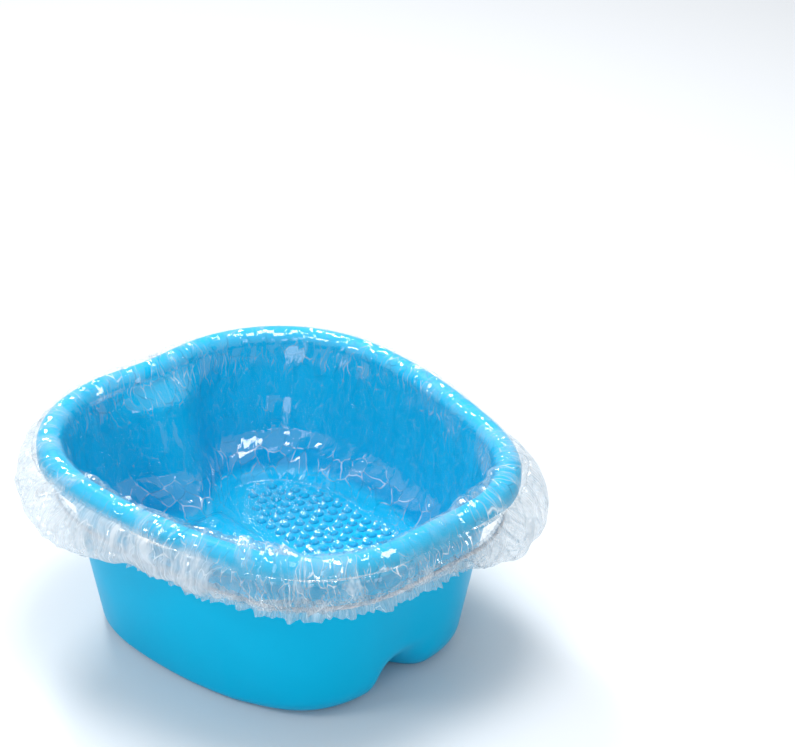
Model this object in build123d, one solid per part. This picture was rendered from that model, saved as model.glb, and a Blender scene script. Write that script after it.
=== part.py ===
from build123d import *
import math
import os

# Foot bath basin with a disposable film liner. Millimetres, +Z up.
# +X is the narrower end, which has the groove between its two bowl-shaped
# lobes. The origin is on the floor, under the middle of the rim.

# Driving dimensions
LENGTH = 390.0
HEIGHT = 183.0
WALL = 2.5
BEAD = 11.0  # outer radius of the rolled rim
LIP_DROP = 7.0  # straight lip below the rolled rim
WALL_LEAN = 0.155  # how far the wall leans in, per millimetre of drop
BASE_ROUND = 8.0  # round along the bottom edge, outside
LOBE_ROUND = 20.0  # how much larger that round is under the two lobes
LOBE_LEAN = 11.0  # how much further in the lobed end is at its bottom
TURN_DROP = 40.0  # drop over which the lean turns towards the middle line
GROOVE_DEEP = 30.0  # groove between the lobes, at the bottom
GROOVE_WIDE = 68.0
GROOVE_HIGH = 50.0
DENT_DEEP = 12.0  # dent down the middle of the broad end, near the rim
DENT_MORE = 20.0  # how much deeper it is at the bottom
DENT_WIDE = 124.0
DENT_START = 20.0  # drop over which the dent begins
FOOT_WIDE = 9.0  # width of the wall's turned-under foot
FLOOR_TOP = 48.0  # top of the raised footbed
FLOOR_THICK = 3.0
COVE = 8.0  # round between footbed and wall, inside
RIDGE_WIDE = 34.0
RIDGE_HIGH = 8.0
RIDGE_BACK = -112.0
RIDGE_LONG = 242.0
OVAL_LONG = 244.0  # each footbed's oval
OVAL_WIDE = 100.0
OVAL_DEEP = 1.0
OVAL_X = -8.0
OVAL_Y = 71.0
NUB_PITCH = 13.0
NUB_RADIUS = 4.6
NUB_HIGH = 2.0  # above the footbed
NUB_SUNK = 0.5  # foot of each nub inside the floor
NUB_TAPER = 35.0  # degrees
NUBS_IN_X = 7.0  # how far inside the oval's ends the last nubs are
NUBS_IN_Y = 6.0

FILM = 0.8  # thickness that stands for the creased film
GAP = 0.4  # clearance between the film and the moulding
SKIRT = [(8, 16), (17, 18), (26, 10)]  # drop and reach outward of its loose folds
BAND_DROP = 34.0  # top of the elastic band, below the rim's centre line
BAND_OUT = -5.0  # outer side of the band, from the rim's centre line
BAND_WIDE = 2.8
BAND_HIGH = 3.6
FRILL_HIGH = 10.0
FRILL_WIDE = 2.4

HALF = LENGTH / 2 - BEAD
RIM_Z = HEIGHT - BEAD
UNDER = FLOOR_TOP - FLOOR_THICK
SPINE = 60.0  # half length of the middle line that the walls lean towards
STATIONS = 26  # steps round half of each outline
CROWDING = 0.09  # how much closer together the steps are near the X axis

# Half of the rim's centre line, from the lobed end to the broad end
RIM_HALF = [
    (HALF, 0),
    (181, 60),
    (149, 114),
    (75, 147),
    (-30, 164),
    (-117, 152),
    (-163.5, 114),
    (-184, 52),
    (-181, 0),
]


def half_line(points):
    """Smooth line through half an outline, square to the X axis at both ends."""
    lengths = [0.0]
    for before, after in zip(points, points[1:]):
        lengths.append(lengths[-1] + (after - before).length)
    ends = [(0, 1, 0), (0, -1, 0)]
    return Edge.make_spline(points, tangents=ends, parameters=lengths, scale=False)


def rim_stations():
    """Point and outward direction at steps round half the rim, closer at its ends."""
    line = half_line([Vector(x, y, RIM_Z) for x, y in RIM_HALF])
    stations = []
    for step in range(STATIONS + 1):
        turn = step / STATIONS
        place = turn - CROWDING * math.sin(2 * math.pi * turn)
        point = line.position_at(place)
        along = line.tangent_at(place)
        stations.append((point, Vector(along.Y, -along.X, 0)))
    return stations


RIM_STATIONS = rim_stations()


def closed(points):
    """Closed outline through half its points and their mirror image."""
    half = half_line(points)
    return Wire([half, half.mirror(Plane.XZ)])


def even(height, out):
    """Outline at one distance outward of the rim line."""
    points = []
    for point, outward in RIM_STATIONS:
        place = point + outward * out
        points.append(Vector(place.X, place.Y, height))
    return closed(points)


def flat_ring(one, other):
    """Flat face between two outlines at one height."""
    small, large = sorted((one, other), key=lambda wire: Face(wire).area)
    return Face(large, [small])


def skinned(outlines):
    """Solid whose skin runs through the outlines in turn.

    The first and last are closed with flat faces, unless they are the same one.
    """
    faces = []
    run = [outlines[0]]
    for before, after in zip(outlines, outlines[1:]):
        if abs(before.center().Z - after.center().Z) < 0.001:
            faces.append(flat_ring(before, after))
            if len(run) > 1:
                faces += Shell.make_loft(run, ruled=True).faces()
            run = []
        run.append(after)
    if len(run) > 1:
        faces += Shell.make_loft(run, ruled=True).faces()
    if outlines[0] is not outlines[-1]:
        faces += [Face(outlines[0]), Face(outlines[-1])]
    return Solid(Shell(faces))


def fade(value, reach):
    """1 at zero, falling smoothly to 0 at reach."""
    if abs(value) >= reach:
        return 0.0
    return math.cos(math.pi * value / (2 * reach)) ** 2


def rounding(radius, rise):
    """How far a round corner pulls in at a height above its bottom."""
    if rise >= radius:
        return 0.0
    return radius - math.sqrt(radius**2 - (radius - rise) ** 2)


def lean_line(point, outward, drop):
    """Direction the wall leans along: square to the rim, then towards a middle spine."""
    spine = Vector(max(-SPINE, min(SPINE, point.X)), 0, RIM_Z)
    share = min(1.0, drop / TURN_DROP)
    return (outward * (1 - share) + (point - spine).normalized() * share).normalized()


def wall(height, deeper=0.0, lift=0.0):
    """Outline of the wall at a height, deeper inside its outer face.

    lift raises the round of the bottom edge, for the wall's inner face.
    """
    drop = RIM_Z - height
    low = drop / RIM_Z
    points = []
    for point, outward in RIM_STATIONS:
        front = max(0.0, point.X / HALF) ** 2
        inward = BEAD - WALL + drop * WALL_LEAN + deeper
        inward += LOBE_LEAN * front * low
        inward += rounding(BASE_ROUND + LOBE_ROUND * front - lift, height - lift)
        place = point - lean_line(point, outward, drop) * inward
        if place.X > 0:
            dent = -GROOVE_DEEP * fade(place.Y, GROOVE_WIDE / 2) * fade(height, GROOVE_HIGH)
        else:
            dent = (DENT_DEEP + DENT_MORE * low) * fade(place.Y, DENT_WIDE / 2)
            dent *= min(1.0, drop / DENT_START)
        points.append(Vector(place.X + dent, place.Y, height))
    return closed(points)


def over_rim(radius, start, stop, steps):
    """Outlines over a round about the rim line, from one angle to another."""
    outlines = []
    for step in range(steps + 1):
        angle = math.radians(start + (stop - start) * step / steps)
        height = RIM_Z + radius * math.sin(angle)
        outlines.append(even(height, radius * math.cos(angle)))
    return outlines


def inner_side(deeper, bottom):
    """Outlines of the inside, from the rim down to a rounded lower edge."""
    outlines = [wall(height, WALL + deeper) for height in (152, 110, 78)]
    for rise in (COVE, 5, 2.5, 0.8, 0):
        outlines.append(wall(bottom + rise, WALL + deeper + rounding(COVE, rise)))
    return outlines


def ridge(grow):
    """Low rounded divider between the two footbeds."""
    across = Ellipse(RIDGE_WIDE / 2 + grow, RIDGE_HIGH + grow)
    start = Plane.YZ.offset(RIDGE_BACK - grow)
    return Pos(0, 0, FLOOR_TOP) * extrude(start * across, RIDGE_LONG + 2 * grow)


def nub_places(side):
    """Staggered rows of nub centres inside one footbed."""
    places = []
    for row in range(-4, 5):
        for column in range(-10, 11):
            x = (column + 0.5 * (row % 2)) * NUB_PITCH
            y = row * NUB_PITCH * math.sqrt(3) / 2
            along = x / (OVAL_LONG / 2 - NUBS_IN_X)
            across = y / (OVAL_WIDE / 2 - NUBS_IN_Y)
            if math.hypot(along, across) < 1:
                places.append((OVAL_X + x, side * (OVAL_Y + y)))
    return places


def basin():
    """One thin-walled moulding, open above and hollow below its raised footbed."""
    outlines = [wall(height, WALL, WALL) for height in (UNDER, 36, 28, 18, 12, 8, 6, 4)]
    outlines += [wall(height, WALL, WALL) for height in (3.1, WALL)]
    outlines += [wall(WALL, FOOT_WIDE, WALL), wall(0, FOOT_WIDE - WALL)]
    outlines += [wall(height) for height in (0, 0.6, 2, 4, 8, 12, 18, 28, 36, 44, 50)]
    outlines += [wall(height) for height in (78, 110, 152, RIM_Z)]
    outlines += over_rim(BEAD - WALL, 180, 0, 10)[1:]
    outlines += [even(RIM_Z - LIP_DROP, BEAD - WALL), even(RIM_Z - LIP_DROP, BEAD)]
    outlines += over_rim(BEAD, 0, 180, 12)
    outlines += inner_side(0, FLOOR_TOP)
    body = skinned(outlines)
    body += ridge(0) - Pos(0, 0, UNDER / 2) * Box(LENGTH, LENGTH, UNDER)
    body -= ridge(-FLOOR_THICK)
    nubs = []
    for side in (-1, 1):
        oval = Pos(OVAL_X, side * OVAL_Y) * Ellipse(OVAL_LONG / 2, OVAL_WIDE / 2)
        body -= Pos(0, 0, FLOOR_TOP - OVAL_DEEP) * extrude(oval, OVAL_DEEP + RIDGE_HIGH)
        for x, y in nub_places(side):
            foot = Pos(x, y, FLOOR_TOP - OVAL_DEEP - NUB_SUNK) * Circle(NUB_RADIUS)
            nubs.append(extrude(foot, OVAL_DEEP + NUB_SUNK + NUB_HIGH, taper=NUB_TAPER))
    return body + nubs


def liner_bag():
    """The film inside the basin, down one wall, across the footbeds and up again."""
    bottom = FLOOR_TOP + NUB_HIGH + GAP
    outlines = inner_side(GAP, bottom)[::-1] + [wall(RIM_Z - GAP, WALL + GAP)]
    outlines += [wall(RIM_Z - GAP, WALL + GAP + FILM)]
    outlines += inner_side(GAP + FILM, bottom + FILM)
    over = ridge(GAP + FILM) - Pos(0, 0, bottom / 2) * Box(LENGTH, LENGTH, bottom)
    return skinned(outlines) + over - ridge(GAP)


def liner_skirt():
    """The film over the rim and down outside it to the elastic band."""
    low = RIM_Z - BAND_DROP + GAP
    outer = BEAD + GAP + FILM
    outlines = over_rim(outer, 180, 0, 12)
    outlines += [even(RIM_Z - drop, out) for drop, out in SKIRT]
    outlines += [even(low, BAND_OUT), even(low, BAND_OUT - FILM)]
    outlines += [even(RIM_Z - drop, out - FILM) for drop, out in reversed(SKIRT)]
    outlines += over_rim(outer - FILM, 0, 180, 12)
    return skinned(outlines + [outlines[0]])


def ring(top, high, out, wide):
    """Plain band below the rim."""
    corners = [even(top, out), even(top - high, out)]
    corners += [even(top - high, out - wide), even(top, out - wide)]
    return skinned(corners + [corners[0]])


def elastic_band():
    """Elastic in the liner's hem, drawn in under the rim."""
    return ring(RIM_Z - BAND_DROP, BAND_HIGH, BAND_OUT, BAND_WIDE)


def liner_frill():
    """The film's gathered edge below the elastic."""
    top = RIM_Z - BAND_DROP - BAND_HIGH - GAP
    return ring(top, FRILL_HIGH, BAND_OUT, FRILL_WIDE)


os.makedirs("parts", exist_ok=True)
for make in (basin, liner_bag, liner_skirt, elastic_band, liner_frill):
    piece = make()
    box = piece.bounding_box()
    print(make.__name__, round(piece.volume / 1000, 1), "cm3", box.min, box.max)
    export_step(piece, f"parts/{make.__name__}.step")
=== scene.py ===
import bpy
import math
import numpy as np
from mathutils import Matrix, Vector


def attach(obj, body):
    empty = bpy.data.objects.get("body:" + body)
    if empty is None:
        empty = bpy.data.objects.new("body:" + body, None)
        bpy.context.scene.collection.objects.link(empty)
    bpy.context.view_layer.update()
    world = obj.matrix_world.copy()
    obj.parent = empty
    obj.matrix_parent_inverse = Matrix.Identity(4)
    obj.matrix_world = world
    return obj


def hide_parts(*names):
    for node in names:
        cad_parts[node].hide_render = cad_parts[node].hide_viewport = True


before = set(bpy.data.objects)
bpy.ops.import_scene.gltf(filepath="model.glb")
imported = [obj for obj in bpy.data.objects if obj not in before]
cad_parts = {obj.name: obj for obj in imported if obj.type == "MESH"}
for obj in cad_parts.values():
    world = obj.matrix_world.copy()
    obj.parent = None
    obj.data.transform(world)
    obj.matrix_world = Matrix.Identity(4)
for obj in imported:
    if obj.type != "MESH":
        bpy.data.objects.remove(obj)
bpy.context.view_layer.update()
MM = 0.001

# ---------------------------------------------------------------- dimensions
# Millimetres, named and sized as in the CAD source.
LENGTH, HEIGHT, WALL, BEAD, LIP_DROP = 390.0, 183.0, 2.5, 11.0, 7.0
WALL_LEAN, BASE_ROUND, LOBE_ROUND, FOOT_WIDE = 0.155, 8.0, 20.0, 9.0
LOBE_LEAN, TURN_DROP = 11.0, 40.0
GROOVE_DEEP, GROOVE_WIDE, GROOVE_HIGH = 30.0, 68.0, 50.0
DENT_DEEP, DENT_MORE, DENT_WIDE, DENT_START = 12.0, 20.0, 124.0, 20.0
FLOOR_TOP, FLOOR_THICK, COVE = 48.0, 3.0, 8.0
RIDGE_WIDE, RIDGE_HIGH, RIDGE_BACK, RIDGE_LONG = 34.0, 8.0, -112.0, 242.0
OVAL_LONG, OVAL_WIDE, OVAL_DEEP, OVAL_X, OVAL_Y = 244.0, 100.0, 1.0, -8.0, 71.0
NUB_PITCH, NUB_RADIUS, NUB_HIGH, NUBS_IN_X, NUBS_IN_Y = 13.0, 4.6, 2.0, 7.0, 6.0
BAND_DROP, BAND_OUT = 34.0, -5.0
HALF, RIM_Z, UNDER, SPINE = LENGTH / 2 - BEAD, HEIGHT - BEAD, FLOOR_TOP - FLOOR_THICK, 60.0
RIM_HALF = np.array([(HALF, 0), (181, 60), (149, 114), (75, 147), (-30, 164),
                     (-117, 152), (-163.5, 114), (-184, 52), (-181, 0)], float)
NUB_ROW = NUB_PITCH * math.sqrt(3) / 2  # between rows of nubs

# Only here: the moulding's finer form
LIP_ROUND = 0.4  # worn edge of the lip
RIDGE_SOFT = 12.0  # length over which each end of the divider rises
RIDGE_SHELL = 1.2  # how much narrower the divider is underneath
OVAL_EDGE = 26.0  # steepness of the ovals' edges
NUB_FOOT, NUB_SUNK = 0.5, 0.3  # how far a nub's foot spreads, and sinks into the floor
DOME_START, DOME_TURN = 30.0, 58.2  # a nub's dome, in degrees: where it leaves its foot, and its turn

# The film: how far it stays from the moulding, and where it bridges from wall to floor
FLOOR_GAP, BRIDGE_GAP, WALL_GAP = 0.6, 1.2, 1.0
BRIDGE_TOP, BRIDGE_OUT = 90.0, 21.0

# Points round the rim in each mesh
BASIN_STATIONS, FILM_STATIONS, ELASTIC_STATIONS, FRILL_STATIONS = 360, 860, 1400, 1800


# ---------------------------------------------------------------- outlines
def clamped_spline(points, first, last):
    """Smooth curve through points, with set directions at both ends: fine samples of it."""
    gaps = np.hypot(*np.diff(points, axis=0).T)
    count = len(points)
    system = np.zeros((count, count))
    right = np.zeros((count, 2))
    system[0, 0] = system[-1, -1] = 1
    right[0], right[-1] = first, last
    for i in range(1, count - 1):
        a, b = gaps[i - 1], gaps[i]
        system[i, i - 1:i + 2] = 1 / a, 2 / a + 2 / b, 1 / b
        right[i] = 3 * ((points[i] - points[i - 1]) / a**2 + (points[i + 1] - points[i]) / b**2)
    slopes = np.linalg.solve(system, right)
    parts = []
    t = np.linspace(0, 1, 160, endpoint=False)[:, None]
    for i, gap in enumerate(gaps):
        parts.append((2 * t**3 - 3 * t**2 + 1) * points[i] + (t**3 - 2 * t**2 + t) * gap * slopes[i]
                     + (3 * t**2 - 2 * t**3) * points[i + 1] + (t**3 - t**2) * gap * slopes[i + 1])
    return np.vstack(parts + [points[-1:]])


def rim_line(count):
    """count points evenly spaced round the rim, their outward directions, and their distances."""
    half = clamped_spline(RIM_HALF, (0, 1), (0, -1))
    whole = np.vstack([half, half[-2:0:-1] * (1, -1), half[:1]])
    along = np.concatenate([[0], np.cumsum(np.hypot(*np.diff(whole, axis=0).T))])
    places = np.linspace(0, along[-1], count, endpoint=False)
    points = np.stack([np.interp(places, along, whole[:, k]) for k in (0, 1)], axis=1)
    turn = np.roll(points, -1, axis=0) - np.roll(points, 1, axis=0)
    turn /= np.linalg.norm(turn, axis=1)[:, None]
    return points, np.stack([turn[:, 1], -turn[:, 0]], axis=1), places


def fade(value, reach):
    """1 at zero, falling smoothly to 0 at reach on either side."""
    value = np.abs(value)
    return np.where(value < reach, np.cos(np.pi * value / (2 * reach)) ** 2, 0.0)


def rounding(radius, rise):
    """How far a rounded bottom edge stands in from the wall, at some rise above its foot."""
    rise = np.clip(rise, 0, radius)
    return radius - np.sqrt(np.maximum(0, radius**2 - (radius - rise) ** 2))


class Rim:
    """The rim line at one resolution, and outlines that follow it."""

    def __init__(self, count):
        self.count = count
        self.points, self.out, self.along = rim_line(count)
        self.length = self.along[-1] + self.along[1]

    def even(self, height, out):
        """An outline a constant way out from the rim line, or a way that varies round it."""
        place = self.points + self.out * np.reshape(out, (-1, 1))
        return np.column_stack([place, np.full(len(place), 1.0) * height])

    def wall(self, height, deeper=0.0, lift=0.0):
        """The outside of the wall at a height, or an outline deeper in, on a foot lifted by lift."""
        point, drop = self.points, RIM_Z - height
        low = drop / RIM_Z
        spine = np.column_stack([np.clip(point[:, 0], -SPINE, SPINE), np.zeros(len(point))])
        ray = point - spine
        ray /= np.linalg.norm(ray, axis=1)[:, None]
        share = min(1.0, drop / TURN_DROP)
        lean = self.out * (1 - share) + ray * share
        lean /= np.linalg.norm(lean, axis=1)[:, None]
        front = np.maximum(0, point[:, 0] / HALF) ** 2
        inward = BEAD - WALL + drop * WALL_LEAN + deeper + LOBE_LEAN * front * low
        inward = inward + rounding(BASE_ROUND + LOBE_ROUND * front - lift, height - lift)
        place = point - lean * inward[:, None]
        groove = -GROOVE_DEEP * fade(place[:, 1], GROOVE_WIDE / 2) * fade(height, GROOVE_HIGH)
        dent = (DENT_DEEP + DENT_MORE * low) * fade(place[:, 1], DENT_WIDE / 2) * min(1.0, drop / DENT_START)
        place[:, 0] += np.where(place[:, 0] > 0, groove, dent)
        return np.column_stack([place, np.full(len(place), float(height))])

    def over(self, radius, degrees):
        """Outlines round the rolled rim: 0 degrees is its outer side, 180 its inner side."""
        return [self.even(RIM_Z + radius * math.sin(a), radius * math.cos(a)) for a in np.radians(degrees)]


# ---------------------------------------------------------------- seeded noise
def wander(seed, x, y, cell):
    """Faceted noise, -1 to 1: flat triangles between random heights, cell wide."""
    x, y = np.asarray(x, float) / cell, np.asarray(y, float) / cell
    x, y = x + 0.5 * y, y * 1.1547
    i, j = np.floor(x), np.floor(y)
    fx, fy = x - i, y - j

    def corner(a, b):
        h = np.sin(a * 127.1 + b * 311.7 + seed * 74.7) * 43758.5453
        return 2 * (h - np.floor(h)) - 1

    upper = fx + fy > 1
    one = np.where(upper, corner(i + 1, j + 1), corner(i, j))
    two, three = corner(i + 1, j), corner(i, j + 1)
    wa, wb = np.where(upper, 1 - fy, fx), np.where(upper, 1 - fx, fy)
    return one * (1 - wa - wb) + two * wa + three * wb


def swell(seed, x, y, cell):
    """Smooth noise, about -1 to 1."""
    x, y = np.asarray(x, float) / cell, np.asarray(y, float) / cell
    i, j = np.floor(x), np.floor(y)
    fx, fy = x - i, y - j
    fx, fy = fx * fx * (3 - 2 * fx), fy * fy * (3 - 2 * fy)

    def corner(a, b):
        h = np.sin(a * 269.5 + b * 183.3 + seed * 91.3) * 24634.6345
        return 2 * (h - np.floor(h)) - 1

    low = corner(i, j) * (1 - fx) + corner(i + 1, j) * fx
    high = corner(i, j + 1) * (1 - fx) + corner(i + 1, j + 1) * fx
    return low * (1 - fy) + high * fy


def seamless(noise, seed, along, length, across, cell_along, cell_across):
    """Noise round a closed loop, blended over its last 60 mm so that the ends meet."""
    squeeze = cell_across / cell_along
    mix = np.clip((along - (length - 60)) / 60, 0, 1)
    one = noise(seed, along * squeeze, across, cell_across)
    two = noise(seed, (along - length) * squeeze, across, cell_across)
    return one * (1 - mix) + two * mix


def rim_noise(noise, seed, rim, cell, across=0.0):
    """Seamless noise along one line round the rim."""
    return seamless(noise, seed, rim.along, rim.length, 0 * rim.along + across, cell, cell)


# ---------------------------------------------------------------- mesh helpers
def grid_faces(rings, count, start=0):
    """Quads between rings of count points, closed round the loop."""
    i, j = np.meshgrid(np.arange(rings - 1), np.arange(count), indexing="ij")
    k = (j + 1) % count
    a, b = start + i * count + j, start + i * count + k
    return np.stack([a, b, b + count, a + count], axis=-1).reshape(-1, 4)


def fan_faces(start, count, middle):
    """Triangles that close a ring of count points onto its middle point."""
    return [[start + j, start + (j + 1) % count, middle] for j in range(count)]


def fan_faces_down(start, count, middle):
    """The same triangles, facing the other way."""
    return [[b, a, point] for a, b, point in fan_faces(start, count, middle)]


def mesh_piece(name, verts, quads, tris=()):
    mesh = bpy.data.meshes.new(name)
    faces = [list(map(int, q)) for q in quads] + [list(map(int, t)) for t in tris]
    mesh.from_pydata((np.asarray(verts) * MM).tolist(), [], faces)
    mesh.validate()
    mesh.polygons.foreach_set("use_smooth", [True] * len(mesh.polygons))
    mesh.update()
    piece = bpy.data.objects.new(name, mesh)
    bpy.context.scene.collection.objects.link(piece)
    return piece


def normals_of(grid):
    """Unit normals of a (rings, count, 3) grid that is closed round the loop."""
    along = np.roll(grid, -1, axis=1) - np.roll(grid, 1, axis=1)
    across = np.gradient(grid, axis=0)
    normal = np.cross(along, across)
    size = np.linalg.norm(normal, axis=2, keepdims=True)
    return normal / np.maximum(size, 1e-9)


def paint(piece, name, values):
    """One value for each point, for the material to read by name."""
    layer = piece.data.attributes.new(name, "FLOAT", "POINT")
    layer.data.foreach_set("value", np.asarray(values, np.float32).ravel())


# ---------------------------------------------------------------- basin
def floor_relief(x, y):
    """Height of the footbed above its flat, from the divider and the two ovals."""
    front = RIDGE_BACK + RIDGE_LONG
    ends = (np.clip((x - RIDGE_BACK) / RIDGE_SOFT + 0.5, 0, 1)
            * np.clip((front - x) / RIDGE_SOFT + 0.5, 0, 1))
    across = np.clip(1 - (y / (RIDGE_WIDE / 2)) ** 2, 0, 1)
    rise = RIDGE_HIGH * np.sqrt(across) * ends
    inside = np.hypot((x - OVAL_X) / (OVAL_LONG / 2), (np.abs(y) - OVAL_Y) / (OVAL_WIDE / 2))
    return rise - OVAL_DEEP * np.clip((1 - inside) * OVAL_EDGE, 0, 1)


def nub_places():
    """Middles of the nubs: staggered rows that fill both ovals."""
    places = []
    for side in (-1, 1):
        for row in range(-4, 5):
            for column in range(-10, 11):
                x, y = (column + 0.5 * (row % 2)) * NUB_PITCH, row * NUB_ROW
                if math.hypot(x / (OVAL_LONG / 2 - NUBS_IN_X), y / (OVAL_WIDE / 2 - NUBS_IN_Y)) < 1:
                    places.append((OVAL_X + x, side * (OVAL_Y + y)))
    return places


def nub_domes(start):
    """Points, quads and triangles of all the nubs, numbered from start."""
    sides, levels = 14, 5
    foot = FLOOR_TOP - OVAL_DEEP - NUB_SUNK
    points, quads, tris = [], [], []
    for x, y in nub_places():
        first = start + len(points)
        for level in range(levels):
            angle = math.radians(DOME_START + DOME_TURN * (level / (levels - 1)) ** 0.8)
            radius = NUB_RADIUS * math.cos(angle)
            z = FLOOR_TOP + NUB_HIGH - NUB_RADIUS + NUB_RADIUS * math.sin(angle)
            if level == 0:
                radius, z = NUB_RADIUS + NUB_FOOT, foot
            for side in range(sides):
                a = 2 * math.pi * side / sides
                points.append((x + radius * math.cos(a), y + radius * math.sin(a), z))
        points += [(x, y, FLOOR_TOP + NUB_HIGH), (x, y, foot)]
        peak = first + levels * sides
        quads.append(grid_faces(levels, sides, first))
        tris += fan_faces(peak - sides, sides, peak) + fan_faces_down(first, sides, peak + 1)
    return points, quads, tris


def underside_rings(rim):
    """From under the middle of the footbed out to the wall and down to the turned-under foot."""
    rings = []
    edge = rim.wall(UNDER, WALL, WALL)
    for share in np.linspace(0.03, 0.97, 48):
        ring = edge * (share, share, 1)
        ring[:, 2] += np.clip(floor_relief(ring[:, 0], ring[:, 1] * RIDGE_SHELL), 0, RIDGE_HIGH)
        rings.append(ring)
    rings += [rim.wall(h, WALL, WALL) for h in (UNDER, 36, 28, 18, 12, 8, 6, 4, 3.1, WALL)]
    return rings + [rim.wall(WALL, FOOT_WIDE, WALL), rim.wall(0.0, FOOT_WIDE - WALL)]


def outside_rings(rim):
    """From the foot up the outside of the wall, and round the hollow of the rolled rim to its lip."""
    heights = [0.0, 0.3, 0.7, 1.3, 2, 3, 4, 5.5, 8, 10, 12, 15, 18, 22, 26, 30, 34, 38, 42, 46, 50, 54]
    rings = [rim.wall(h) for h in heights + list(np.linspace(60, RIM_Z, 24))]
    rings += rim.over(BEAD - WALL, np.linspace(172, 0, 16))
    lip = RIM_Z - LIP_DROP
    return rings + [rim.even(lip, BEAD - WALL), rim.even(lip - LIP_ROUND, BEAD - WALL + LIP_ROUND),
                    rim.even(lip - LIP_ROUND, BEAD - LIP_ROUND), rim.even(lip, BEAD)]


def inside_rings(rim):
    """Over the rolled rim, down the inside of the wall, and in to the middle of the footbed."""
    rings = rim.over(BEAD, np.linspace(0, 180, 26))
    rings += [rim.wall(h, WALL) for h in np.linspace(168, FLOOR_TOP + COVE + 3, 26)]
    for rise in (8, 6.5, 5, 3.5, 2.5, 1.6, 0.8, 0.3, 0):
        rings.append(rim.wall(FLOOR_TOP + rise, WALL + float(rounding(COVE, rise))))
    edge = rings[-1]
    for share in np.linspace(0.985, 0.02, 72):
        ring = edge * (share, share, 1)
        ring[:, 2] += floor_relief(ring[:, 0], ring[:, 1])
        rings.append(ring)
    return rings


def basin_mesh():
    """The moulding as one closed skin, and the nubs sunk into its footbeds."""
    rim = Rim(BASIN_STATIONS)
    rings = underside_rings(rim) + outside_rings(rim) + inside_rings(rim)
    verts = np.vstack(rings + [[[0, 0, UNDER + RIDGE_HIGH], [0, 0, FLOOR_TOP + RIDGE_HIGH]]])
    middle = len(verts) - 2
    tris = fan_faces_down(0, rim.count, middle) + fan_faces(middle - rim.count, rim.count, middle + 1)
    nubs, nub_quads, nub_tris = nub_domes(len(verts))
    quads = np.vstack([grid_faces(len(rings), rim.count)] + nub_quads)
    return mesh_piece("basin_visual", np.vstack([verts, nubs]), quads, tris + nub_tris)


# ---------------------------------------------------------------- film
# How the film hangs round the rim: bearing in degrees from +X, then the value there.
BULGE = [(0, 6), (14, 14), (28, 21), (45, 21), (58, 13), (75, 8), (120, 7), (150, 7), (164, 8),
         (172, 15), (180, 10), (195, 8), (210, 13), (225, 17), (240, 20), (254, 22), (264, 14),
         (280, 8), (300, 7), (330, 5), (345, 5)]  # how far the skirt's pouches stand out, mm
SAG = [(0, 0), (10, 10), (20, 26), (35, 32), (50, 22), (66, 5), (80, 0), (215, 0), (238, 12),
       (252, 17), (266, 10), (280, 6), (300, 4), (318, 0)]  # how far the pouches hang, mm
LIFT = [(0, 1.0), (20, 0.9), (40, 0.6), (60, 0.25), (150, 0.2), (175, 0.4), (200, 0.6), (240, 0.7),
        (270, 0.8), (300, 1.0)]  # how loosely it lies on the rim, a share
MILKY = [(0, 0.05), (14, 0.16), (24, 0.42), (45, 0.42), (62, 0.14), (190, 0.16), (215, 0.34),
         (250, 0.42), (264, 0.62), (278, 0.80), (298, 0.55), (311, 0.18), (322, 0.05)]  # whiteness
# Fans of folds above the elastic: distance round the rim in mm, then how strong.
GATHERS = [(1034, 1.9), (1088, 1.0), (968, 0.7), (30, 1.1), (905, 0.5), (1140, 1.1)]


def round_the_rim(rim, table):
    """A table's values at each of the rim's points."""
    bearing = np.degrees(np.arctan2(rim.points[:, 1], rim.points[:, 0])) % 360
    places, values = np.array(table, float).T
    return np.interp(bearing, places, values, period=360)


def skirt_rings(rim):
    """The loose skirt, from the rim's outer side down to the elastic, on one curve per station."""
    bulge, sag = round_the_rim(rim, BULGE), round_the_rim(rim, SAG)
    start, end_out, end_rise = BEAD + WALL_GAP, BAND_OUT + 0.6, -BAND_DROP + 0.5
    rings, part = [], []
    for t in np.linspace(0, 1, 49)[1:]:
        a, b, c, d = (1 - t) ** 3, 3 * t * (1 - t) ** 2, 3 * t * t * (1 - t), t ** 3
        out = a * start + b * (12 + 1.5 * bulge) + c * (4 + 1.5 * bulge) + d * end_out
        rise = b * (-9 - 0.5 * sag) + c * (-33 - 1.5 * sag) + d * end_rise
        ring = rim.even(0.0, out)
        ring[:, 2] = RIM_Z + rise
        rings.append(ring)
        part.append(2 + t)
    return rings, part


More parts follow.
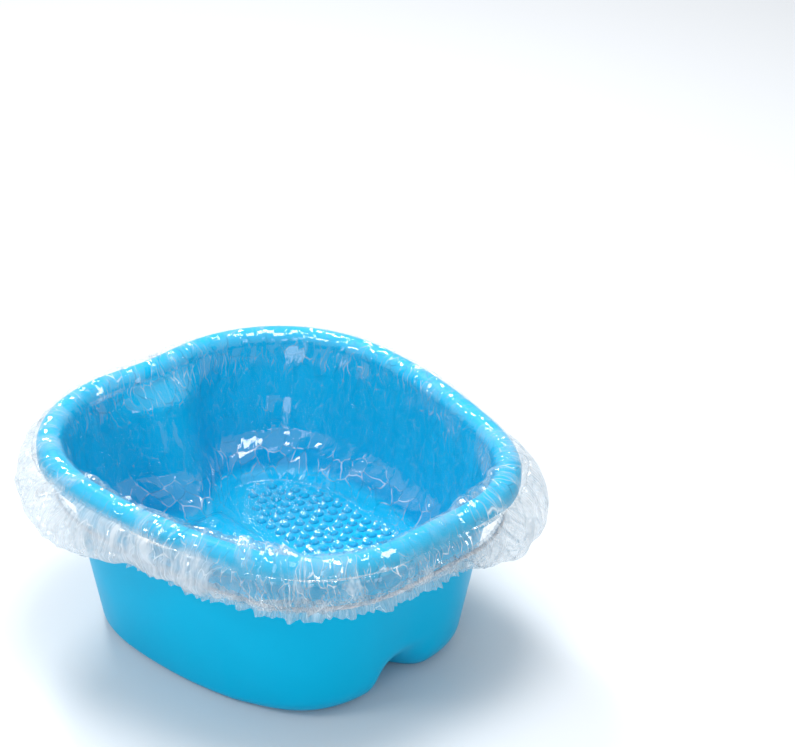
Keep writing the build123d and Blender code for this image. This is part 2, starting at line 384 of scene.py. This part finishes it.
def film_course(rim):
    """The film's smooth course, from the middle of the floor up the wall, over the rim and down.

    Each ring of points has a part: below 0 the floor, 0 to 1 the wall, 1 to 2 the round of the
    rim, 2 to 3 the loose skirt down to the elastic.
    """
    bottom = FLOOR_TOP + NUB_HIGH + FLOOR_GAP
    rings, part = [], []
    edge = rim.wall(bottom, WALL + BRIDGE_GAP + BRIDGE_OUT)
    for share in np.linspace(0.02, 0.99, 84):
        ring = edge * (share, share, 1)
        ring[:, 2] += np.clip(floor_relief(ring[:, 0], ring[:, 1]) - NUB_HIGH, 0, RIDGE_HIGH)
        rings.append(ring)
        part.append(share - 1)
    for height in np.linspace(bottom, BRIDGE_TOP, 34):
        off = (BRIDGE_TOP - height) / (BRIDGE_TOP - bottom)
        rings.append(rim.wall(height, WALL + BRIDGE_GAP + BRIDGE_OUT * off ** 1.15))
        part.append((height - bottom) / (RIM_Z - bottom))
    for height in np.linspace(BRIDGE_TOP + 1.2, RIM_Z - 1.2, 68):
        rings.append(rim.wall(height, WALL + WALL_GAP))
        part.append((height - bottom) / (RIM_Z - bottom))
    turns = np.linspace(180, 0, 30)
    rings += rim.over(BEAD + WALL_GAP, turns)
    part += list(1 + (180 - turns) / 180)
    skirt, skirt_part = skirt_rings(rim)
    return np.array(rings + skirt), np.array(part + skirt_part)


def nub_relief(x, y):
    """How the film rises over the nubs, where it clings to them."""
    row = np.round((np.abs(y) - OVAL_Y) / NUB_ROW)
    column = np.round((x - OVAL_X) / NUB_PITCH - 0.5 * (row % 2)) + 0.5 * (row % 2)
    off_x = x - OVAL_X - column * NUB_PITCH
    off_y = np.abs(y) - OVAL_Y - row * NUB_ROW
    inside = np.hypot((x - OVAL_X) / (OVAL_LONG / 2 - 4), (np.abs(y) - OVAL_Y) / (OVAL_WIDE / 2 - 4)) < 1
    return 1.5 * fade(np.hypot(off_x, off_y), 5.0) * inside


def film_normals(rim, grid, part):
    """Directions away from the moulding: up and inwards inside, outwards on the skirt."""
    normal = normals_of(grid)
    for i, place in enumerate(part):
        turn = math.pi * (2 - np.clip(place, 1, 2))
        aim = np.column_stack([rim.out * math.cos(turn), np.full(rim.count, math.sin(turn) + 0.3)])
        if np.mean(np.sum(normal[i] * aim, axis=1)) < 0:
            normal[i] *= -1
    return normal


class Creasing:
    """The film's zones and its creasing noise, at each point of its grid.

    Each zone is a share, 0 to 1: floor, cling (the smooth wall), band (the crumpled belt where
    the film bridges the corner), over (the rim) and hem (growing down the skirt).
    """

    def __init__(self, rim, grid, part):
        self.rim, self.part = rim, np.repeat(part[:, None], rim.count, axis=1)
        steps = np.linalg.norm(np.diff(grid, axis=0), axis=2).mean(axis=1)
        self.s, self.v = np.meshgrid(rim.along, np.concatenate([[0], np.cumsum(steps)]))
        self.zones(grid[:, :, 2])
        self.noises()
        self.nubs = nub_relief(grid[:, :, 0], grid[:, :, 1])
        self.lift = round_the_rim(rim, LIFT)[None, :]
        self.loose = round_the_rim(rim, BULGE)[None, :] / 20
        self.milky = round_the_rim(rim, MILKY)[None, :]

    def zones(self, z):
        part = self.part
        self.hem = np.clip(part - 2, 0, 1)
        over = np.clip((z - 138) / 22, 0, 1) * (part <= 1) + (part > 1)
        self.over = over * (1 - self.hem)
        self.band = fade(z - 70, 24) * (part > 0) * (part < 1)
        self.floor = (part <= 0) * 1.0
        self.cling = (part > 0) * (part <= 1) * (1 - self.band) * (1 - self.over)
        self.skirt = np.clip(self.hem * 3, 0, 1)

    def noise(self, kind, seed, cell_s, cell_v, shift_s=0.0, shift_v=0.0):
        """Noise from its cell's size round the rim and down the film."""
        return seamless(kind, seed, self.s + shift_s, self.rim.length, self.v + shift_v, cell_s, cell_v)

    def share(self, *facts):
        """The same noise, as a share from 0 to 1."""
        return 0.5 + 0.5 * self.noise(*facts)

    def noises(self):
        slant = 16 * self.noise(swell, 21, 55, 45)
        bend = 9 * self.noise(swell, 22, 40, 34)
        self.flats = self.share(wander, 41, 26, 24, slant, bend)
        self.chips = self.share(wander, 42, 13, 12, slant, -bend)
        self.bits = self.share(wander, 43, 6, 6, -slant * 0.5, bend * 0.5)
        self.ticks = self.share(wander, 44, 5.5, 26, slant * 1.3, bend)
        self.folds = self.share(wander, 45, 9, 34, -slant * 1.6, bend)
        self.streaks = self.share(swell, 46, 11, 260, slant * 0.2)
        self.blisters = np.clip(self.noise(swell, 47, 62, 48) - 0.15, 0, 1)
        self.sparse = np.clip(0.45 + 1.1 * self.noise(swell, 48, 46, 30), 0, 1)
        self.crimp = self.noise(swell, 51, 4.2, 60, slant * 0.3) + 0.6 * self.noise(swell, 52, 2.6, 60)
        self.patch = np.clip(2.2 * self.noise(swell, 61, 15, 20, slant, bend) - 0.2, 0, 1)

    def gathers(self):
        """Fans of folds that run up from a few places on the elastic."""
        push = 0
        for place, strength in GATHERS:
            away = (self.s - place + self.rim.length / 2) % self.rim.length - self.rim.length / 2
            reach = np.exp(-(away / 30) ** 2) * np.clip(self.part - 1.45, 0, 1)
            angle = np.arctan2(away, 7 + 46 * np.clip(1 - self.hem, 0, 1))
            push = push + strength * reach * 3.6 * np.abs(swell(place, angle * 9, 0 * angle, 1.0))
        return push

    def push(self):
        """How far each point stands off the smooth course, mm."""
        flats, chips, bits, sparse, blisters = self.flats, self.chips, self.bits, self.sparse, self.blisters
        push = self.cling * (0.5 * self.streaks + 7 * blisters * (0.6 + 0.4 * flats) + blisters * chips)
        push += self.band * (5.0 * flats + 2.6 * chips + 0.5 * bits)
        push += self.floor * (1.8 * flats ** 2 * (flats > 0.4) + 0.6 * chips + 0.25 * bits)
        push += self.floor * self.nubs
        push += (self.over * (0.25 + 0.75 * sparse) * (2.3 * self.ticks + 1.7 * self.folds)
                 * (0.6 + 0.4 * self.lift))
        push += (self.over * (self.part > 1) * self.lift
                 * (5.0 * flats * sparse + 3.0 * chips * sparse + 0.3 * bits))
        slack = np.sin(np.pi * self.hem) ** 0.7
        push += slack * ((1.2 + 4.0 * self.loose) * (flats - 0.4) + 1.8 * (chips - 0.4)
                         + 2.2 * (self.folds - 0.3))
        push += self.hem ** 2.2 * 1.5 * self.crimp
        push += self.gathers()
        return np.where(self.part < 1.2, np.maximum(push, 0), push)

    def haze_and_sheen(self, push):
        """How white the film is: most in the milky skirt, and along sharp folds, where the white is partly
        crease whitening and partly a painted highlight.
        """
        fold_white_and_sheen = np.abs(push - 0.25 * (np.roll(push, 2, 1) + np.roll(push, -2, 1)
                                     + np.roll(push, 2, 0) + np.roll(push, -2, 0)))
        haze_and_sheen = (0.012 + 0.05 * self.floor * self.bits * (self.chips > 0.5)
                + 0.14 * self.band * (self.flats > 0.62) * self.chips)
        haze_and_sheen = haze_and_sheen + self.over ** 3 * (0.34 * self.patch * (0.35 + self.milky) * (0.3 + self.lift) + 0.015)
        haze_and_sheen = haze_and_sheen + np.clip(self.part * 7 - 13, 0, 1) * (0.85 * self.milky + 0.14 * self.patch)
        # Sharp folds turn whiter: partly the film's own crease whitening, partly a painted highlight
        # standing in for glints on the fold edges.
        haze_and_sheen = haze_and_sheen + np.clip(fold_white_and_sheen * 0.50 - 0.10, 0, 0.45)
        return np.clip(haze_and_sheen, 0, 0.95)

    def crease(self):
        """How strongly the small creases show."""
        crease = (0.20 * self.cling + 0.30 * self.floor + self.band
                  + self.over * (0.45 + 0.55 * self.sparse) + 0.8 * self.skirt)
        return np.clip(crease + self.cling * (0.8 * self.blisters + 0.25 * self.streaks), 0, 1)

    def radial(self):
        """Where the small creases run down the film rather than every way."""
        return np.clip(self.over + self.skirt + 0.8 * self.cling, 0, 1)


def film_mesh():
    rim = Rim(FILM_STATIONS)
    grid, part = film_course(rim)
    creasing = Creasing(rim, grid, part)
    push = creasing.push()
    grid = grid + film_normals(rim, grid, part) * push[:, :, None]
    low = FLOOR_TOP + NUB_HIGH + 0.4
    grid[:, :, 2] = np.where(creasing.part < 1, np.maximum(grid[:, :, 2], low), grid[:, :, 2])

    verts = np.vstack([grid.reshape(-1, 3), [[0, 0, FLOOR_TOP + NUB_HIGH + RIDGE_HIGH]]])
    middle = len(verts) - 1
    piece = mesh_piece("film", verts, grid_faces(len(part), rim.count),
                       fan_faces_down(0, rim.count, middle))
    paint(piece, "haze_and_sheen", np.append(creasing.haze_and_sheen(push), 0.03))
    paint(piece, "crease", np.append(creasing.crease(), 0.25))
    paint(piece, "radial", np.append(creasing.radial(), 0.0))
    paint(piece, "round", np.append(creasing.s, 0.0) * MM)
    paint(piece, "down", np.append(creasing.v, 0.0) * MM)
    return piece


def elastic_mesh():
    """A thin crimped cord round the hem."""
    rim = Rim(ELASTIC_STATIONS)
    wave = rim_noise(swell, 61, rim, 30)
    crimp = np.abs(rim_noise(swell, 62, rim, 2.6))
    radius = 1.5 + 0.5 * crimp
    sides = 10
    rings = []
    for k in range(sides):
        a = 2 * math.pi * k / sides
        ring = rim.even(0.0, BAND_OUT + 3.4 + radius * 0.8 * math.cos(a))
        ring[:, 2] = RIM_Z - BAND_DROP - 3.0 + 1.15 * radius * math.sin(a) + 0.8 * wave
        rings.append(ring)
    verts = np.vstack(rings)
    return mesh_piece("elastic", verts, grid_faces(sides + 1, rim.count) % len(verts))


def frill_mesh():
    """The gathered edge of film below the elastic."""
    rim = Rim(FRILL_STATIONS)
    steps = 9
    folds = rim_noise(wander, 71, rim, 7)
    flutes = rim_noise(wander, 72, rim, 3.2, 3.3)
    tall = 8.5 + 1.8 * rim_noise(swell, 73, rim, 40) + 2.6 * flutes
    rings = []
    for k in range(steps + 1):
        t = k / steps
        out = BAND_OUT + 2.2 + t * (3.6 * folds + 3.0 * flutes + 3.0) + 0.7 * (1 - t) * flutes
        ring = rim.even(0.0, out)
        ring[:, 2] = RIM_Z - BAND_DROP - 4.0 - t * tall + 1.6 * flutes * t
        rings.append(ring)
    verts = np.vstack(rings)
    piece = mesh_piece("frill", verts, grid_faces(steps + 1, rim.count))
    paint(piece, "haze_and_sheen", np.repeat(np.linspace(0.50, 0.30, steps + 1), rim.count))
    paint(piece, "crease", np.full(len(verts), 0.9))
    paint(piece, "radial", np.full(len(verts), 1.0))
    paint(piece, "round", np.tile(rim.along, steps + 1) * MM * 2.2)
    paint(piece, "down", np.repeat(np.linspace(0, 12, steps + 1), rim.count) * MM)
    return piece


# ---------------------------------------------------------------- materials
class Shading:
    """One material's nodes. Each input is a constant or another node's output."""

    def __init__(self, name):
        self.material = bpy.data.materials.new(name)
        self.material.use_nodes = True
        self.nodes, self.links = self.material.node_tree.nodes, self.material.node_tree.links
        self.nodes.clear()

    def fill(self, node, inputs):
        for key, value in inputs.items():
            if isinstance(value, bpy.types.NodeSocket):
                self.links.new(value, node.inputs[key])
            else:
                node.inputs[key].default_value = value
        return node

    def add(self, kind, inputs):
        return self.fill(self.nodes.new("ShaderNode" + kind), inputs)

    def finish(self, surface):
        self.add("OutputMaterial", {"Surface": surface})
        return self.material

    def place(self):
        return self.add("TexCoord", {}).outputs["Object"]

    def attribute(self, name):
        node = self.nodes.new("ShaderNodeAttribute")
        node.attribute_name = name
        return node.outputs["Fac"]

    def sums(self, operation, *values, clamp=False):
        node = self.nodes.new("ShaderNodeMath")
        node.operation, node.use_clamp = operation, clamp
        return self.fill(node, dict(enumerate(values))).outputs[0]

    def vector(self, operation, inputs):
        node = self.nodes.new("ShaderNodeVectorMath")
        node.operation = operation
        return self.fill(node, inputs).outputs["Vector"]

    def stretched(self, place, scale):
        return self.add("Mapping", {"Vector": place, "Scale": scale}).outputs["Vector"]

    def noise(self, place, scale, detail, rough=0.5):
        return self.add("TexNoise", {"Vector": place, "Scale": scale, "Detail": detail, "Roughness": rough})

    def cells(self, place, cells, feature):
        """Irregular cells along the film, so many to a metre round the rim and down it."""
        node = self.nodes.new("ShaderNodeTexVoronoi")
        node.voronoi_dimensions, node.feature = "2D", feature
        return self.fill(node, {"Vector": self.stretched(place, (*cells, 1)), "Scale": 1.0})

    def span(self, value, low, high, to_low=0.0, to_high=1.0):
        """A value's place between low and high, as a value between to_low and to_high."""
        node = self.add("MapRange", {"Value": value, "From Min": low, "From Max": high,
                                     "To Min": to_low, "To Max": to_high})
        return node.outputs["Result"]

    def ramp(self, value, dark, light):
        """A colour between dark and light, from the middle of a value's range."""
        node = self.add("ValToRGB", {"Fac": value})
        for item, place, colour in zip(node.color_ramp.elements, (0.3, 0.7), (dark, light)):
            item.position, item.color = place, (*colour, 1)
        return node.outputs["Color"]

    def colour_mix(self, share, one, two):
        node = self.nodes.new("ShaderNodeMix")
        node.data_type = "RGBA"
        return self.fill(node, {"Factor": share, "A": one, "B": two}).outputs["Result"]

    def shader_mix(self, share, one, two):
        return self.add("MixShader", {"Fac": share, 1: one, 2: two}).outputs["Shader"]

    def bump(self, height, strength, distance):
        node = self.add("Bump", {"Height": height, "Strength": strength, "Distance": distance})
        return node.outputs["Normal"]


def plastic():
    """Satin cyan plastic, with a faint orange peel and flow lines."""
    made = Shading("blue_plastic")
    place = made.place()
    cloud = made.noise(place, 9.0, 4.0).outputs["Fac"]
    grain = made.noise(place, 900.0, 2.0).outputs["Fac"]
    flow = made.noise(made.stretched(place, (1, 1, 0.12)), 40.0, 3.0).outputs["Fac"]
    shader = made.add("BsdfPrincipled", {
        "Base Color": made.ramp(cloud, (0.0, 0.415, 0.690), (0.0, 0.450, 0.730)),
        "Roughness": made.span(cloud, 0.0, 1.0, 0.24, 0.38),
        "Normal": made.bump(made.sums("MULTIPLY_ADD", grain, 0.35, flow), 0.12, 0.0006),
        "IOR": 1.49, "Specular IOR Level": 0.06})
    return made.finish(shader.outputs["BSDF"])


# The film's small flats: cells to a metre, round the rim and down the film.
EVEN_CELLS, LONG_CELLS = (60.0, 64.0), (165.0, 38.0)
CREASE_HALF = 0.045  # half of a crease's width, as a share of a cell
FILM_WHITE = (0.86, 0.88, 0.89, 1)
FILM_CLEAR, CREASE_SHADE = (0.985, 0.99, 0.99, 1), (0.45, 0.58, 0.66, 1)


def film_place(made):
    """The place on the film laid flat, in metres, a little stirred."""
    flat = made.add("CombineXYZ", {"X": made.attribute("round"), "Y": made.attribute("down")})
    flat = flat.outputs["Vector"]
    stray = made.noise(flat, 34.0, 2.0).outputs["Color"]
    return made.vector("MULTIPLY_ADD", {0: stray, 1: (0.022, 0.022, 0.0), 2: flat})


def film_normal(made, wisps, flats, tilt):
    """The film's normal, tipped a different way on each small flat."""
    centred = made.vector("SUBTRACT", {0: flats, 1: (0.5, 0.5, 0.5)})
    scaled = made.vector("SCALE", {0: centred, "Scale": tilt})
    tipped = made.vector("ADD", {0: made.bump(wisps, 0.35, 0.0010), 1: scaled})
    return made.vector("NORMALIZE", {0: tipped})


def film_body(made, cloudy_and_sheen, shadow):
    """Clear film, darker with painted shade along some creases, that turns white where it is milky and where
    its creases carry a painted highlight.
    """
    lit = made.add("BsdfDiffuse", {"Color": FILM_WHITE}).outputs["BSDF"]
    through = made.add("BsdfTranslucent", {"Color": FILM_WHITE}).outputs["BSDF"]
    shade = made.colour_mix(shadow, FILM_CLEAR, CREASE_SHADE)
    clear = made.add("BsdfTransparent", {"Color": shade}).outputs["BSDF"]
    return made.shader_mix(cloudy_and_sheen, clear, made.shader_mix(0.45, lit, through))


def film_material(name, extra, tilt):
    """Clear film: see-through and glossy, in small flats, and white along its creases, partly as crease
    whitening and partly as a painted highlight.
    """
    made = Shading(name)
    haze_and_sheen, crease, radial = (made.attribute(word) for word in ("haze_and_sheen", "crease", "radial"))
    place = film_place(made)
    lines, flats = [], []
    for cells in (EVEN_CELLS, LONG_CELLS):
        edge = made.cells(place, cells, "DISTANCE_TO_EDGE").outputs["Distance"]
        lines.append(made.span(edge, CREASE_HALF, 0.0))
        flats.append(made.cells(place, cells, "F1").outputs["Color"])
    # White crease lines: partly crease whitening, partly a painted highlight standing in for glints along
    # the creases.
    line = made.sums("ADD", made.sums("MULTIPLY", lines[0], made.sums("SUBTRACT", 1.15, radial)),
                     made.sums("MULTIPLY", lines[1], radial))
    some = made.span(made.noise(place, 75.0, 3.0).outputs["Fac"], 0.41, 0.60)
    line = made.sums("MULTIPLY", made.sums("MULTIPLY", line, crease), some)
    wisps = made.noise(made.stretched(place, (210.0, 36.0, 1.0)), 1.0, 3.0, 0.55).outputs["Fac"]
    cloudy_and_sheen = made.sums("MULTIPLY_ADD", haze_and_sheen, made.span(wisps, 0.35, 0.68, 0.55, 1.4), extra)
    cloudy_and_sheen = made.sums("MULTIPLY_ADD", line, 0.90, cloudy_and_sheen, clamp=True)
    shadow = made.sums("MULTIPLY", made.sums("MULTIPLY", lines[0], made.sums("SUBTRACT", 1.0, some)),
                       made.sums("MULTIPLY", crease, 0.9))
    normal = film_normal(made, wisps, made.colour_mix(radial, *flats), made.sums("MULTIPLY", crease, tilt))
    facing = made.add("LayerWeight", {"Blend": 0.5, "Normal": normal}).outputs["Facing"]
    share = made.sums("MULTIPLY_ADD", made.sums("POWER", facing, 4.5), 0.45, 0.07, clamp=True)
    gloss = made.add("BsdfGlossy", {"Color": (1, 1, 1, 1), "Roughness": 0.065, "Normal": normal})
    return made.finish(made.shader_mix(share, film_body(made, cloudy_and_sheen, shadow), gloss.outputs["BSDF"]))


def elastic_material():
    """Off-white ribbed elastic."""
    made = Shading("elastic")
    rib = made.noise(made.place(), 420.0, 3.0).outputs["Fac"]
    shader = made.add("BsdfPrincipled", {
        "Base Color": made.ramp(rib, (0.50, 0.45, 0.46), (0.74, 0.69, 0.69)),
        "Roughness": 0.6,
        "Normal": made.bump(rib, 0.5, 0.0005)})
    return made.finish(shader.outputs["BSDF"])


def ground_material():
    made = Shading("ground")
    shader = made.add("BsdfPrincipled", {"Base Color": (0.74, 0.76, 0.78, 1), "Roughness": 0.55})
    return made.finish(shader.outputs["BSDF"])


# ---------------------------------------------------------------- the pieces
basin = basin_mesh()
basin.data.materials.append(plastic())
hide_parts("basin")

film = film_mesh()
film.data.materials.append(film_material("clear_film", 0.0, 0.95))
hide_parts("liner_bag", "liner_skirt")

elastic = elastic_mesh()
elastic.data.materials.append(elastic_material())
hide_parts("elastic_band")

frill = frill_mesh()
frill.data.materials.append(film_material("frill_film", 0.06, 0.7))
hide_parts("liner_frill")

for piece in (basin, film, elastic, frill):
    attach(piece, "root")

# ---------------------------------------------------------------- floor, light, camera
bpy.ops.mesh.primitive_plane_add(size=60, location=(0, 0, 0))
ground = bpy.context.object
ground.name = "ground"
ground.data.materials.append(ground_material())


def lamp(name, place, power, width, tall):
    """A soft rectangular lamp aimed at the basin's middle."""
    data = bpy.data.lights.new(name, "AREA")
    data.shape, data.size, data.size_y, data.energy = "RECTANGLE", width, tall, power
    item = bpy.data.objects.new(name, data)
    bpy.context.scene.collection.objects.link(item)
    item.location = place
    item.rotation_euler = (Vector((0, 0, 0.1)) - Vector(place)).to_track_quat("-Z", "Y").to_euler()


lamp("key", (-1.5, 0.5, 1.9), 26, 0.35, 0.8)
lamp("fill", (1.5, -2.2, 1.3), 10, 1.2, 1.2)
lamp("top", (0.1, 0.1, 1.9), 22, 0.8, 0.8)
lamp("edge", (-0.4, -1.8, 1.9), 12, 0.8, 0.25)
world = bpy.data.worlds.new("studio")
bpy.context.scene.world = world
world.use_nodes = True
sky = world.node_tree.nodes["Background"]
sky.inputs["Color"].default_value = (0.95, 0.97, 1.0, 1)
sky.inputs["Strength"].default_value = 0.66
bpy.context.scene.view_settings.view_transform = "Standard"

eye = bpy.data.cameras.new("camera")
eye.lens, eye.sensor_width = 98.83, 36.0
camera = bpy.data.objects.new("camera", eye)
bpy.context.scene.collection.objects.link(camera)
camera.location = (1.2140, -1.0059, 1.0852)
camera.rotation_euler = (math.radians(61.8), 0.0, math.radians(46.92))
bpy.context.scene.camera = camera
